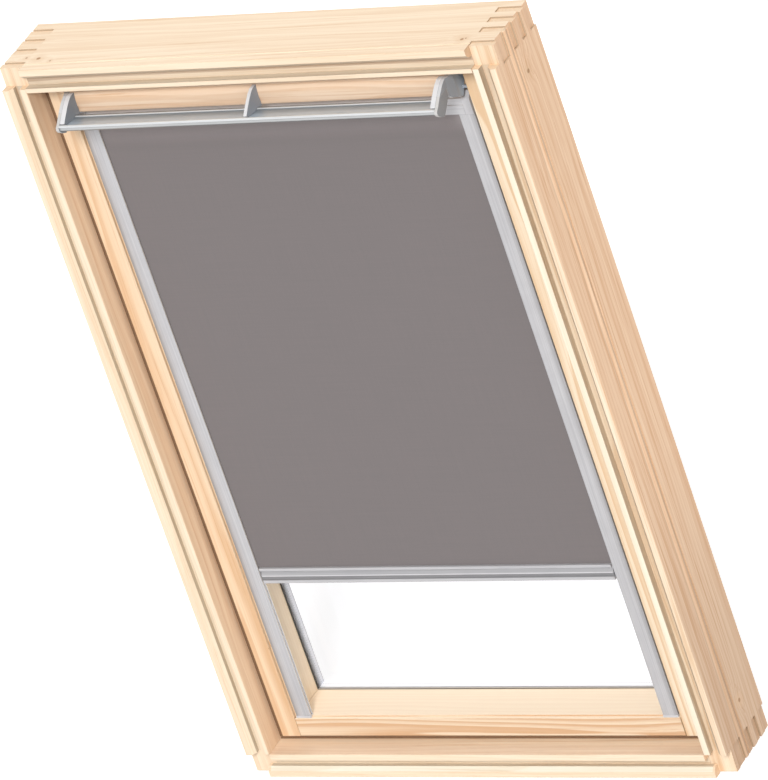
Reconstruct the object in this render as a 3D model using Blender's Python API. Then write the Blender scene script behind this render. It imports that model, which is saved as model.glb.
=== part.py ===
"""Centre-pivot roof window in pine with a blackout roller blind fitted in its sash.

Metres. +X is to the right as seen from the room, +Y points out of the room and +Z up the slope.
The origin is the middle of the sill's bottom face, so the window stands on its sill.
Depths in the names below are measured outwards from the frame's room-side face.
"""

import math

import bmesh
import bpy
from mathutils import Matrix, Vector

# Outer frame
WIDTH = 0.780
HEIGHT = 1.178
FRAME_DEPTH = 0.1274
FRAME_THICKNESS = 0.0375
GAP = 0.0003

# Room-side profile of the frame: outer lip with a sloped inner side, lining groove, inner lip
OUTER_LIP = 0.009
SLOPE_END = (0.0153, 0.0066)
GROOVE_END = 0.0273
HEAD_GROOVE_END = 0.0300
GROOVE_DEPTH = 0.0135
INNER_LIP_SETBACK = 0.002
INNER_LIP_ROUND = 0.0018
EDGE_ROUND = 0.0012

# V grooves in the outer faces, as (across, depth) points from the back forwards
STILE_GROOVES = ((0, 0.0590), (0.0012, 0.0578), (0, 0.0515), (0.0015, 0.0435), (0, 0.0415))
RAIL_GROOVE = ((0, 0.0190), (0.0012, 0.0172), (0, 0.0160))

# Finger joints: where each finger starts, from the corner block inwards
FINGER_STARTS = (GROOVE_DEPTH, 0.024, 0.0465, 0.0595, 0.0725, 0.0855, 0.0985, 0.1115)
STILE_END_RECESS = 0.002
RAIL_END_RECESS = 0.003
BLOCK_SETBACK = 0.0002
STILE_LIP_STOP = 0.031
SILL_LIP_STOP = 0.028

# Sash
SASH_GAP = 0.0464
SASH_MEMBER = 0.0301
SASH_DEPTH = 0.0361
REVEAL_STEP = 0.002
REVEAL_STEP_DEPTH = 0.0415
INNER_STEP = 0.003
INNER_STEP_DEPTH = 0.0500
PANE_DEPTH = 0.1083
SASH_TOP = HEIGHT - SASH_GAP
APRON_BOTTOM = 1.048
APRON_FRONT = 0.090
TOP_RAIL_BOTTOM = 1.098
TOP_RAIL_FRONT = 0.050

# Glazing
PANE_THICKNESS = 0.004
SPACER_THICKNESS = 0.0150
SPACER_WIDTH = 0.0140
SPACER_INSET = 0.0038
PANE_BEARING = 0.018
GASKET = (0.0011, 0.0026)
COVER_SHEET = 0.0018
COVER_OVERLAP = 0.0245

# Pivot
PIVOT_DEPTH = 0.085
PIVOT_HEIGHT = HEIGHT / 2
PIVOT_PIN = 0.0060
PIVOT_CLEARANCE = 0.0001

# Ventilation flap, its brackets and the control bar
FLAP_HALF = 0.2962
FLAP_AXIS = (0.040, 1.100)
FLAP_PIN = 0.0025
BRACKET_INNER = 0.2890
BRACKET_THICKNESS = 0.0072
MIDDLE_BRACKET = 0.0050
END_PIECE = (0.2965, 0.3065)
END_SLANT = (0.0100, 0.0224)
BAR_HALF = 0.2962
BAR_CAP = (0.2965, 0.3012)

# Blind
FABRIC_DEPTH = 0.0420
FABRIC_THICKNESS = 0.0006
FABRIC_HALF = 0.2965
CHANNEL_INNER = 0.2860
CHANNEL_OUTER = 0.3100
CHANNEL_FRONT = 0.0370
CHANNEL_BACK = 0.0455
CHANNEL_WALL = 0.0014
CHANNEL_SLOT = (0.0405, 0.0436)
CASSETTE_BOTTOM = 1.0585
CASSETTE_TOP = 1.0910
CASSETTE_HALF = 0.2975
TUBE_AXIS = (0.0566, 1.0746)
TUBE_RADIUS = 0.0140
TUBE_BORE = 0.0112
BAR_BOTTOM = 0.3070
BAR_HEIGHT = 0.0250
BAR_END = 0.2835

SASH_OUTER = WIDTH / 2 - SASH_GAP
SASH_INNER = SASH_OUTER - SASH_MEMBER
REVEAL = SASH_INNER - REVEAL_STEP
INNER_REVEAL = REVEAL - INNER_STEP
RAIL_TOP = SASH_GAP + SASH_MEMBER

for old in list(bpy.data.objects):
    bpy.data.objects.remove(old, do_unlink=True)

PARTS = bpy.data.collections.new("roof_window_with_blind")
CUTTERS = bpy.data.collections.new("cutters")
bpy.context.scene.collection.children.link(PARTS)
bpy.context.scene.collection.children.link(CUTTERS)


def depth(d):
    """Y of a point that lies d behind the frame's room-side face."""
    return d - FRAME_DEPTH / 2


def material(name, colour, roughness, metallic=0.0, alpha=1.0):
    made = bpy.data.materials.new(name)
    made.use_nodes = True
    shader = made.node_tree.nodes["Principled BSDF"]
    shader.inputs["Base Color"].default_value = (*colour, 1.0)
    shader.inputs["Roughness"].default_value = roughness
    shader.inputs["Metallic"].default_value = metallic
    shader.inputs["Alpha"].default_value = alpha
    return made


PINE = ("pine", (0.86, 0.66, 0.44), 0.5)
SASH_PINE = ("sash_pine", (0.88, 0.62, 0.38), 0.45)
ALUMINIUM = ("aluminium", (0.72, 0.72, 0.74), 0.35, 0.9)
COVER_ALUMINIUM = ("cover_aluminium", (0.28, 0.29, 0.30), 0.5, 0.6)
GREY_PLASTIC = ("grey_plastic", (0.50, 0.51, 0.52), 0.45)
PALE_PLASTIC = ("pale_plastic", (0.62, 0.62, 0.65), 0.4)
BLACKOUT = ("blackout_cloth", (0.25, 0.22, 0.22), 0.9)
GLASS = ("glass", (0.95, 0.97, 0.98), 0.02, 0.0, 0.35)
RUBBER = ("rubber", (0.05, 0.045, 0.04), 0.8)
SPACER = ("spacer_metal", (0.55, 0.57, 0.58), 0.35, 0.8)
STEEL = ("zinc_steel", (0.55, 0.55, 0.56), 0.35, 1.0)
FOAM = ("filter_foam", (0.09, 0.09, 0.09), 0.95)


def place(name, mesh, look, collection=None):
    """Object from a mesh, with its own material."""
    made = bpy.data.objects.new(name, mesh)
    (collection or PARTS).objects.link(made)
    if look:
        made.data.materials.clear()
        made.data.materials.append(material(f"{name}_{look[0]}", *look[1:]))
    return made


def as_cutter(made):
    PARTS.objects.unlink(made)
    CUTTERS.objects.link(made)
    made.hide_render = True
    made.display_type = "WIRE"
    return made


def box(name, x, y, z, look):
    """Box between the two values of each of x, y and z; y as depths."""
    mesh = bpy.data.meshes.new(name)
    shape = bmesh.new()
    bmesh.ops.create_cube(shape, size=1.0)
    size = (x[1] - x[0], y[1] - y[0], z[1] - z[0])
    centre = (sum(x) / 2, depth(sum(y) / 2), sum(z) / 2)
    bmesh.ops.scale(shape, vec=size, verts=shape.verts)
    bmesh.ops.translate(shape, vec=centre, verts=shape.verts)
    shape.to_mesh(mesh)
    shape.free()
    return place(name, mesh, look)


def cylinder(name, radius, x, centre, look, sides=32):
    """Cylinder along X between the two values of x, round a (depth, height) centre."""
    mesh = bpy.data.meshes.new(name)
    shape = bmesh.new()
    length = x[1] - x[0]
    bmesh.ops.create_cone(
        shape, cap_ends=True, segments=sides, radius1=radius, radius2=radius, depth=length,
        matrix=Matrix.Translation((sum(x) / 2, depth(centre[0]), centre[1]))
        @ Matrix.Rotation(math.pi / 2, 4, "Y"),
    )
    shape.to_mesh(mesh)
    shape.free()
    made = place(name, mesh, look)
    made.data.shade_smooth()
    made.data.set_sharp_from_angle(angle=math.radians(40))
    return made


def filleted(outline, radii, steps=3):
    """The outline with the corners named in radii, by index, turned into arcs."""
    out = []
    for i, corner in enumerate(outline):
        here = Vector(corner)
        if i not in radii:
            out.append(tuple(here))
            continue
        before = (Vector(outline[i - 1]) - here).normalized()
        after = (Vector(outline[(i + 1) % len(outline)]) - here).normalized()
        half = before.angle(after) / 2
        reach = radii[i] / math.tan(half)
        centre = here + (before + after).normalized() * radii[i] / math.sin(half)
        first = here + before * reach - centre
        turn = first.angle_signed(here + after * reach - centre)
        for k in range(steps + 1):
            out.append(tuple(centre + Matrix.Rotation(-turn * k / steps, 2) @ first))
    return out


def bulged(start, end, height, steps=8):
    """Points of a shallow arc from start to end, with height of bulge to the left."""
    start, end = Vector(start), Vector(end)
    along = end - start
    left = Vector((-along.y, along.x)).normalized()
    return [
        tuple(start + along * k / steps + left * height * 4 * (k / steps) * (1 - k / steps))
        for k in range(steps + 1)
    ]


def prism(name, outline, span, look, along="X"):
    """A flat outline drawn out along an axis.

    Along X the outline holds (depth, height) pairs, along Z (x, depth) pairs.
    """
    curve = bpy.data.curves.new(name, "CURVE")
    curve.dimensions = "2D"
    curve.fill_mode = "BOTH"
    curve.extrude = (span[1] - span[0]) / 2
    spline = curve.splines.new("POLY")
    spline.points.add(len(outline) - 1)
    for point, (a, b) in zip(spline.points, outline):
        point.co = (a, b, 0, 1)
    spline.use_cyclic_u = True
    drawn = bpy.data.objects.new(name, curve)
    middle = sum(span) / 2
    if along == "X":
        turn = Matrix(((0, 0, 1), (1, 0, 0), (0, 1, 0))).to_4x4()
        drawn.matrix_world = Matrix.Translation((middle, depth(0), 0)) @ turn
    else:
        drawn.matrix_world = Matrix.Translation((0, depth(0), middle))
    return meshed(drawn, look)


def meshed(drawn, look):
    """A curve object made a closed mesh object of the same name, in world space."""
    name = drawn.name
    CUTTERS.objects.link(drawn)
    bpy.context.view_layer.update()
    solved = drawn.evaluated_get(bpy.context.evaluated_depsgraph_get())
    mesh = bpy.data.meshes.new_from_object(solved)
    mesh.transform(drawn.matrix_world)
    bpy.data.objects.remove(drawn, do_unlink=True)
    shape = bmesh.new()
    shape.from_mesh(mesh)
    bmesh.ops.remove_doubles(shape, verts=shape.verts, dist=0.000001)
    bmesh.ops.recalc_face_normals(shape, faces=shape.faces)
    shape.to_mesh(mesh)
    shape.free()
    return place(name, mesh, look)


def modify(made, other, operation="DIFFERENCE"):
    change = made.modifiers.new(other.name, "BOOLEAN")
    change.operation = operation
    change.solver = "EXACT"
    change.object = as_cutter(other) if other.name in PARTS.objects else other


def comb(steps, far):
    """Staircase outline: steps holds (from, to, level) runs, and far closes it beyond."""
    line = []
    for start, end, level in steps:
        line += [(start, level), (end, level)]
    return line + [(steps[-1][1], far), (steps[0][0], far)]


def finger_runs(lip_level, stile_level, rail_level, slack, lip_end=GROOVE_DEPTH + BLOCK_SETBACK):
    """Runs along the depth: the lips, then stile fingers, slack wider each way, and rail fingers."""
    past = 0.01
    starts = [lip_end, *FINGER_STARTS[1:], FRAME_DEPTH + past]
    runs = [(-past, lip_end, lip_level)]
    for k in range(len(starts) - 1):
        stile_finger = k % 2 == 0
        lift = slack if stile_finger else -slack
        first = starts[k] - (lift if k else 0)
        last = starts[k + 1] + (lift if k < len(starts) - 2 else 0)
        runs.append((first, last, stile_level if stile_finger else rail_level))
    return runs


def member_outline(side, far_grooves, groove_end=GROOVE_END):
    """Section of a frame member as (across, depth): across runs from the outer face inwards."""
    points = [
        (0, 0), (OUTER_LIP, 0), SLOPE_END, (SLOPE_END[0], GROOVE_DEPTH), (groove_end, GROOVE_DEPTH),
        (groove_end, INNER_LIP_SETBACK), (FRAME_THICKNESS, INNER_LIP_SETBACK),
        (FRAME_THICKNESS, FRAME_DEPTH), (0, FRAME_DEPTH),
    ]
    rounds = {0: EDGE_ROUND, 1: EDGE_ROUND, 5: EDGE_ROUND / 2, 6: INNER_LIP_ROUND}
    return [(side(across), d) for across, d in [*filleted(points, rounds), *far_grooves]]


def frame_members():
    """Head, sill and two stiles, joined by fingers at the corners."""
    far = 0.02
    for sign, word in ((-1, "left"), (1, "right")):
        stile = prism(
            f"frame_stile_{word}",
            member_outline(lambda a: sign * (WIDTH / 2 - a), STILE_GROOVES),
            (0.0, HEIGHT), PINE, along="Z",
        )
        outer = sorted((sign * (WIDTH / 2 - FRAME_THICKNESS - far), sign * (WIDTH / 2 + far)))
        top = finger_runs(
            HEIGHT - STILE_LIP_STOP, HEIGHT - STILE_END_RECESS, HEIGHT - FRAME_THICKNESS - GAP,
            -GAP / 2)
        bottom = finger_runs(
            FRAME_THICKNESS + GAP, STILE_END_RECESS, FRAME_THICKNESS + GAP, -GAP / 2)
        modify(stile, prism(f"top_comb_{word}", comb(top, HEIGHT + far), outer, None))
        modify(stile, prism(f"bottom_comb_{word}", comb(bottom, -far), outer, None))

    head = prism(
        "frame_head",
        [(d, z) for z, d in member_outline(lambda a: HEIGHT - a, RAIL_GROOVE, HEAD_GROOVE_END)],
        (-WIDTH / 2, WIDTH / 2), PINE)
    sill = prism(
        "frame_sill",
        [(d, z) for z, d in member_outline(lambda a: a, RAIL_GROOVE)],
        (-WIDTH / 2, WIDTH / 2), PINE)
    inside = WIDTH / 2 - FRAME_THICKNESS - GAP
    finger = WIDTH / 2 - RAIL_END_RECESS
    for rail, lip_stop, lip_end, level in (
        (head, inside, GROOVE_DEPTH - GAP, HEIGHT),
        (sill, WIDTH / 2 - SILL_LIP_STOP, GROOVE_DEPTH - GAP, 0.0),
    ):
        runs = finger_runs(lip_stop, inside, finger, GAP / 2, lip_end)
        heights = (level - FRAME_THICKNESS - far, level + FRAME_THICKNESS + far)
        for sign, word in ((-1, "left"), (1, "right")):
            line = [(sign * x, d) for d, x in comb(runs, WIDTH / 2 + far)]
            modify(rail, prism(f"{rail.name}_comb_{word}", line, heights, None, along="Z"))
    for sign, word in ((-1, "left"), (1, "right")):
        beyond = sorted((sign * inside, sign * (WIDTH / 2 + far)))
        modify(sill, box(f"inner_lip_stop_{word}", beyond, (-far, 0.018), (0.021, 0.060), None))


def weather_seals():
    """Rubber strips on the frame's inner faces, behind the gap round the sash."""
    front, back, proud = 0.0420, 0.0520, 0.0035
    inner = WIDTH / 2 - FRAME_THICKNESS
    low, high = FRAME_THICKNESS, HEIGHT - FRAME_THICKNESS
    end = low + proud + 2 * GAP
    for sign, word in ((-1, "left"), (1, "right")):
        across = sorted((sign * (inner - GAP), sign * (inner - proud)))
        spans = {"lower": (end, PIVOT_HEIGHT - GAP), "upper": (PIVOT_HEIGHT + GAP, HEIGHT - end)}
        for part, span in spans.items():
            box(f"seal_{part}_{word}", across, (front, back), span, RUBBER)
    box("seal_head", (-inner + GAP, inner - GAP), (front, back), (high - proud, high - GAP), RUBBER)
    box("seal_sill", (-inner + GAP, inner - GAP), (front, back), (low + GAP, low + proud), RUBBER)


def pivots():
    """Friction pivots: a bearing plate on the frame and a disc with a pin on the sash."""
    inner = WIDTH / 2 - FRAME_THICKNESS
    centre = (PIVOT_DEPTH, PIVOT_HEIGHT)
    plate_thickness, plate_half, disc_thickness, disc_radius = 0.0025, 0.050, 0.0025, 0.022
    for sign, word in ((-1, "left"), (1, "right")):
        def across(a, b):
            return sorted((sign * a, sign * b))
        plate = box(
            f"pivot_plate_{word}", across(inner - GAP, inner - plate_thickness),
            (0.066, 0.112), (PIVOT_HEIGHT - plate_half, PIVOT_HEIGHT + plate_half), STEEL)
        modify(plate, cylinder(
            f"pivot_bore_{word}", PIVOT_PIN + PIVOT_CLEARANCE,
            across(inner - 0.02, inner + 0.02), centre, None))
        disc = cylinder(
            f"sash_pivot_{word}", disc_radius,
            across(SASH_OUTER + GAP, SASH_OUTER + disc_thickness), centre, STEEL, sides=48)
        pin = cylinder(
            f"pivot_pin_{word}", PIVOT_PIN, across(SASH_OUTER + 0.001, inner - 0.0006), centre, None)
        modify(disc, pin, "UNION")


def sash_members():
    """Two stiles the full height of the sash, with the rails between them."""
    back = PANE_DEPTH - GAP
    for sign, word in ((-1, "left"), (1, "right")):
        outline = [
            (sign * SASH_OUTER, SASH_DEPTH), (sign * SASH_OUTER, back), (sign * INNER_REVEAL, back),
            (sign * INNER_REVEAL, INNER_STEP_DEPTH), (sign * REVEAL, INNER_STEP_DEPTH),
            (sign * REVEAL, REVEAL_STEP_DEPTH), (sign * SASH_INNER, REVEAL_STEP_DEPTH),
            (sign * SASH_INNER, SASH_DEPTH),
        ]
        outline = filleted(outline, {0: EDGE_ROUND, 7: EDGE_ROUND, 5: EDGE_ROUND / 2, 3: EDGE_ROUND / 2})
        stile = prism(f"sash_stile_{word}", outline, (SASH_GAP, SASH_TOP), SASH_PINE, along="Z")
        hole = sorted((sign * (REVEAL - 0.01), sign * (SASH_INNER + 0.0075)))
        modify(stile, cylinder(
            f"flap_pin_hole_{word}", FLAP_PIN + PIVOT_CLEARANCE, hole, FLAP_AXIS, None, sides=24))

    outline = filleted([
        (SASH_DEPTH, SASH_GAP), (back, SASH_GAP), (back, RAIL_TOP + REVEAL_STEP),
        (REVEAL_STEP_DEPTH, RAIL_TOP + REVEAL_STEP), (REVEAL_STEP_DEPTH, RAIL_TOP),
        (SASH_DEPTH, RAIL_TOP),
    ], {0: EDGE_ROUND, 5: EDGE_ROUND, 3: EDGE_ROUND / 2})
    bottom = prism("sash_bottom_rail", outline, (-SASH_INNER + GAP, SASH_INNER - GAP), SASH_PINE)
    for sign, word in ((-1, "left"), (1, "right")):
        for reach, front in ((REVEAL, REVEAL_STEP_DEPTH), (INNER_REVEAL, INNER_STEP_DEPTH)):
            notch = sorted((sign * (reach - GAP), sign * (SASH_INNER + 0.02)))
            modify(bottom, box(
                f"rail_notch_{word}", notch, (front - GAP, back + 0.02),
                (SASH_GAP - 0.02, RAIL_TOP + 0.03), None))

    outline = [
        (TOP_RAIL_FRONT, TOP_RAIL_BOTTOM), (APRON_FRONT, TOP_RAIL_BOTTOM),
        (APRON_FRONT, APRON_BOTTOM), (back, APRON_BOTTOM), (back, SASH_TOP),
        (TOP_RAIL_FRONT, SASH_TOP), (TOP_RAIL_FRONT, 1.122), (0.060, 1.122),
        (0.060, 1.108), (TOP_RAIL_FRONT, 1.108),
    ]
    half = INNER_REVEAL - GAP
    top = prism("sash_top_rail", outline, (-half, half), SASH_PINE)
    modify(top, box(
        "lock_pocket", (-0.0455, 0.0455), (0.0625, 0.0885), (1.1037, SASH_TOP + 0.02), None))


def ring(name, outer_x, outer_z, width, depths, look):
    """Flat rectangular ring: outer_x is its half width and outer_z its lowest and highest edge."""
    plate = box(name, (-outer_x, outer_x), depths, outer_z, look)
    hole = box(
        f"{name}_hole", (-outer_x + width, outer_x - width),
        (depths[0] - 0.01, depths[1] + 0.01), (outer_z[0] + width, outer_z[1] - width), None)
    modify(plate, hole)
    return plate


def glazing():
    """Sealed double glazing: gasket, inner pane, spacer, outer pane."""
    half = INNER_REVEAL + PANE_BEARING
    low, high = RAIL_TOP + REVEAL_STEP - PANE_BEARING, APRON_BOTTOM + PANE_BEARING
    inner = (PANE_DEPTH + GAP, PANE_DEPTH + GAP + PANE_THICKNESS)
    spacer = (inner[1] + GAP, inner[1] + GAP + SPACER_THICKNESS)
    outer = (spacer[1] + GAP, spacer[1] + GAP + PANE_THICKNESS)
    box("inner_pane", (-half, half), inner, (low, high), GLASS)
    box("outer_pane", (-half, half), outer, (low, high), GLASS)
    inset = SPACER_INSET
    ring("glass_spacer", half - inset, (low + inset, high - inset), SPACER_WIDTH, spacer, SPACER)
    return half, low, high, outer[1]


def cover_profiles(half, low, high, glass_back):
    """Aluminium covers that hold the glazing from outside: a lip on the glass and a side wall."""
    face = (glass_back + GAP, glass_back + GAP + COVER_SHEET)
    wall_front = PANE_DEPTH + 0.001
    side = SASH_OUTER + COVER_SHEET
    inside = side - COVER_SHEET - GAP
    lip = side - COVER_OVERLAP
    bottom, top = SASH_GAP - COVER_SHEET, SASH_TOP + COVER_SHEET
    for sign, word in ((-1, "left"), (1, "right")):
        outline = [
            (sign * side, wall_front), (sign * side, face[1]), (sign * lip, face[1]),
            (sign * lip, face[0]), (sign * (side - COVER_SHEET), face[0]),
            (sign * (side - COVER_SHEET), wall_front),
        ]
        prism(f"cover_profile_{word}", outline, (bottom, top), COVER_ALUMINIUM, along="Z")
    for word, edge, reach in (("bottom", bottom, low + 0.004), ("top", top, high - 0.004)):
        up = 1 if word == "bottom" else -1
        outline = [
            (wall_front, edge), (face[1], edge), (face[1], reach), (face[0], reach),
            (face[0], edge + up * COVER_SHEET), (wall_front, edge + up * COVER_SHEET),
        ]
        rail = prism(f"cover_profile_{word}", outline, (-inside, inside), COVER_ALUMINIUM)
        for sign, end in ((-1, "left"), (1, "right")):
            corner = sorted((sign * (lip - GAP), sign * (side + 0.01)))
            modify(rail, box(
                f"cover_{word}_notch_{end}", corner, (face[0] - GAP, face[1] + 0.01),
                (bottom - 0.01, top + 0.01), None))


def glazing_gasket():
    """Dark rubber strip round the inside edge of the reveal, against the inner pane."""
    half = INNER_REVEAL - GAP
    width, thickness = GASKET
    ring("glazing_gasket", half, (RAIL_TOP + REVEAL_STEP + GAP, APRON_BOTTOM - GAP), width,
         (PANE_DEPTH - thickness, PANE_DEPTH), RUBBER)


def flap():
    """Ventilation flap: a curved pine board on two end pieces that turn on pins."""
    front = bulged((0.0200, 1.1305), (0.0195, 1.1050), -0.0028)
    foot = [(0.0206, 1.1015), (0.0227, 1.0980), (0.0258, 1.0950), (0.0295, 1.0932), (0.0340, 1.0925)]
    prism("ventilation_flap", front + foot + [(0.0435, 1.0925), (0.0435, 1.1305)],
          (-FLAP_HALF, FLAP_HALF), SASH_PINE)
    end = [
        (0.0092, 1.1300), (0.0007, 1.1266), (-0.0092, 1.1203), (-0.0139, 1.1169), (0.0075, 1.1169),
        (0.0075, 1.1062), (0.0136, 1.0988), (0.0204, 1.0958), (0.0280, 1.0912),
        (0.0345, 1.0905), (0.0484, 1.1090), (0.0484, 1.1300),
    ]
    for sign, word in ((-1, "left"), (1, "right")):
        piece = prism(
            f"flap_end_{word}", end, sorted(sign * x for x in END_PIECE), GREY_PLASTIC)
        pin = cylinder(
            f"flap_pin_{word}", FLAP_PIN,
            sorted((sign * (END_PIECE[0] + 0.002), sign * (SASH_INNER + 0.006))),
            FLAP_AXIS, None, sides=24)
        modify(piece, pin, "UNION")
        slant = [
            (BAR_CAP[1], -0.03), (BAR_CAP[1], END_SLANT[0]), (END_PIECE[1], END_SLANT[1]),
            (END_PIECE[1] + 0.01, END_SLANT[1]), (END_PIECE[1] + 0.01, -0.03),
        ]
        modify(piece, prism(
            f"end_slant_{word}", [(sign * x, d) for x, d in slant], (1.08, 1.14), None, along="Z"))


def bar_outline():
    """Section of the control bar: a round bead, a shallow dish and a thin fin behind."""
    bead, radius = (-0.0289, 1.1038), 0.0024
    round_front = [
        (bead[0] + radius * math.cos(a), bead[1] + radius * math.sin(a))
        for a in (math.radians(40 + 25 * k) for k in range(8))
    ]
    return round_front + [
        (-0.0303, 1.0990), (-0.0285, 1.0968), (-0.0200, 1.0932), (-0.0060, 1.0920), (0.0040, 1.0945),
        (0.0067, 1.0980), (0.0067, 1.1015), (0.0032, 1.1015), (0.0022, 1.0998),
        (-0.0060, 1.1000), (-0.0150, 1.1012), (-0.0230, 1.1030),
    ]


def bracket_outline():
    """Side of a bracket: it leaves the flap's front and curves down to the bar."""
    crest = [(0.0092, 1.1300), (0.0007, 1.1266), (-0.0092, 1.1203), (-0.0180, 1.1138), (-0.0254, 1.1078)]
    seat = [
        (-0.0262, 1.1066), (-0.0232, 1.1035), (-0.0150, 1.1016), (-0.0060, 1.1004), (0.0014, 1.1002),
        (0.0028, 1.1019), (0.0071, 1.1019), (0.0074, 1.0985), (0.0166, 1.0985),
    ]
    back = [(0.0166, 1.1020), (0.0159, 1.1115), (0.0166, 1.1215), (0.0186, 1.1300)]
    return crest + seat + back


def control_bar():
    prism("control_bar", bar_outline(), (-BAR_HALF, BAR_HALF), ALUMINIUM)
    thick = BRACKET_THICKNESS
    for name, low, high in (
        ("bar_bracket_left", -BRACKET_INNER - thick, -BRACKET_INNER),
        ("bar_bracket_middle", -MIDDLE_BRACKET / 2, MIDDLE_BRACKET / 2),
        ("bar_bracket_right", BRACKET_INNER, BRACKET_INNER + thick),
    ):
        prism(name, bracket_outline(), (low, high), GREY_PLASTIC)
    for sign, word in ((-1, "left"), (1, "right")):
        cap = [
            (-0.0142, 1.1166), (-0.0180, 1.1138), (-0.0254, 1.1078), (-0.0316, 1.1040), (-0.0328, 1.1000),
            (-0.0304, 1.0962), (-0.0245, 1.0916), (-0.0184, 1.0886), (-0.0152, 1.0895),
            (-0.0077, 1.0949), (-0.0006, 1.1005), (0.0042, 1.1046), (0.0072, 1.1070), (0.0072, 1.1166),
        ]
        prism(f"bar_cap_{word}", cap, sorted(sign * x for x in BAR_CAP), GREY_PLASTIC)


def lock():
    """Latch in the top rail: its case, the spring bolt and the striker on the frame head."""
    case = box("lock_case", (-0.0452, 0.0452), (0.0628, 0.0882), (1.1040, SASH_TOP - GAP), STEEL)
    shaft = ((-0.0080, 0.0080), (0.0720, 0.0790))
    modify(case, box("bolt_way", (-0.0083, 0.0083), (0.0717, 0.0793), (1.1120, SASH_TOP + 0.02), None))
    box("lock_bolt", *shaft, (1.1180, 1.1368), STEEL)
    striker = box(
        "striker_plate", (-0.0350, 0.0350), (0.0665, 0.0845),
        (HEIGHT - FRAME_THICKNESS - 0.0018, HEIGHT - FRAME_THICKNESS - GAP), STEEL)
    modify(striker, box("striker_hole", (-0.0100, 0.0100), (0.0700, 0.0810), (1.13, 1.15), None))


def air_filter():
    box("air_filter", (-0.2800, 0.2800), (0.0503, 0.0597), (1.1083, 1.1217), FOAM)


def side_channels():
    """Guides for the cloth: a C section with its slot towards the middle, on a foot."""
    slot_front, slot_back = CHANNEL_SLOT
    wall = CHANNEL_WALL
    edge = CHANNEL_FRONT + 0.0016
    outline = [
        (CHANNEL_INNER, slot_front), *bulged((CHANNEL_INNER, edge), (CHANNEL_OUTER, edge), -0.0016, 10),
        (CHANNEL_OUTER, CHANNEL_BACK), (CHANNEL_INNER, CHANNEL_BACK), (CHANNEL_INNER, slot_back),
        (CHANNEL_INNER + wall, slot_back), (CHANNEL_INNER + wall, CHANNEL_BACK - wall),
        (CHANNEL_OUTER - wall, CHANNEL_BACK - wall), (CHANNEL_OUTER - wall, slot_front),
    ]
    low, step = RAIL_TOP + GAP, RAIL_TOP + REVEAL_STEP + GAP
    high = step + 0.0015
    foot = [
        (CHANNEL_FRONT + 0.0004, low), (REVEAL_STEP_DEPTH - GAP, low), (REVEAL_STEP_DEPTH - GAP, step),
        (CHANNEL_BACK, step), (CHANNEL_BACK, high), (CHANNEL_FRONT + 0.0004, high),
    ]
    for sign, word in ((-1, "left"), (1, "right")):
        line = [(sign * x, d) for x, d in outline]
        prism(f"side_channel_{word}", line, (high + GAP, CASSETTE_BOTTOM - GAP), ALUMINIUM, along="Z")
        across = sorted((sign * CHANNEL_INNER, sign * CHANNEL_OUTER))
        prism(f"channel_foot_{word}", foot, across, PALE_PLASTIC)


def cassette():
    """Top casing of the blind: an open-bottomed shell between two end pieces."""
    sheet = 0.0014
    front, back = CHANNEL_FRONT, 0.0850
    ridge = 1.0725
    outer = [
        (front, CASSETTE_BOTTOM), (front, ridge), (front + 0.0008, ridge + 0.0008), (front + 0.0008, 1.0825),
        (0.0460, CASSETTE_TOP), (back, CASSETTE_TOP), (back, CASSETTE_BOTTOM + 0.0020),
        (0.0560, CASSETTE_BOTTOM),
    ]
    inner = [
        (0.0560, CASSETTE_BOTTOM + sheet), (back - sheet, CASSETTE_BOTTOM + 0.0020 + sheet),
        (back - sheet, CASSETTE_TOP - sheet), (0.0466, CASSETTE_TOP - sheet), (front + 0.0028, 1.0820),
        (front + 0.0028, ridge), (front + 0.0024, CASSETTE_BOTTOM),
    ]
    prism("blind_cassette", outer + inner, (-CASSETTE_HALF, CASSETTE_HALF), ALUMINIUM)
    end = filleted([
        (front, CASSETTE_BOTTOM), (front, 1.0825), (0.0460, CASSETTE_TOP), (back, CASSETTE_TOP),
        (back, CASSETTE_BOTTOM),
    ], {1: 0.004, 2: 0.004}, steps=4)
    for sign, word in ((-1, "left"), (1, "right")):
        piece = prism(
            f"cassette_end_{word}", end,
            sorted((sign * (CASSETTE_HALF + GAP), sign * CHANNEL_OUTER)), PALE_PLASTIC)
        stub = cylinder(
            f"tube_journal_{word}", TUBE_BORE - 0.0012,
            sorted((sign * (CASSETTE_HALF - 0.014), sign * (CASSETTE_HALF + 0.004))),
            TUBE_AXIS, None)
        modify(piece, stub, "UNION")
        step = sorted((sign * (INNER_REVEAL - GAP), sign * (CHANNEL_OUTER + 0.01)))
        modify(piece, box(
            f"end_rebate_{word}", step, (INNER_STEP_DEPTH - GAP, 0.10), (CASSETTE_BOTTOM - 0.01, 1.10), None))


def roller():
    """Tube that the cloth winds on, and the spring motor inside it."""
    half = CASSETTE_HALF - 0.0012
    tube = cylinder("roller_tube", TUBE_RADIUS, (-half, half), TUBE_AXIS, ALUMINIUM, sides=40)
    modify(tube, cylinder("tube_bore", TUBE_BORE, (-half - 0.01, half + 0.01), TUBE_AXIS, None))
    reach = CASSETTE_HALF - 0.014 - GAP
    motor = cylinder("spring_motor", 0.0035, (-reach, reach), TUBE_AXIS, STEEL)
    modify(motor, cylinder("motor_drum", TUBE_BORE - 0.0026, (-0.110, 0.110), TUBE_AXIS, None), "UNION")


def blind_cloth():
    top = TUBE_AXIS[1]
    box("blackout_fabric", (-FABRIC_HALF, FABRIC_HALF),
        (FABRIC_DEPTH - FABRIC_THICKNESS / 2, FABRIC_DEPTH + FABRIC_THICKNESS / 2),
        (BAR_BOTTOM + BAR_HEIGHT + GAP, top), BLACKOUT)


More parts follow.
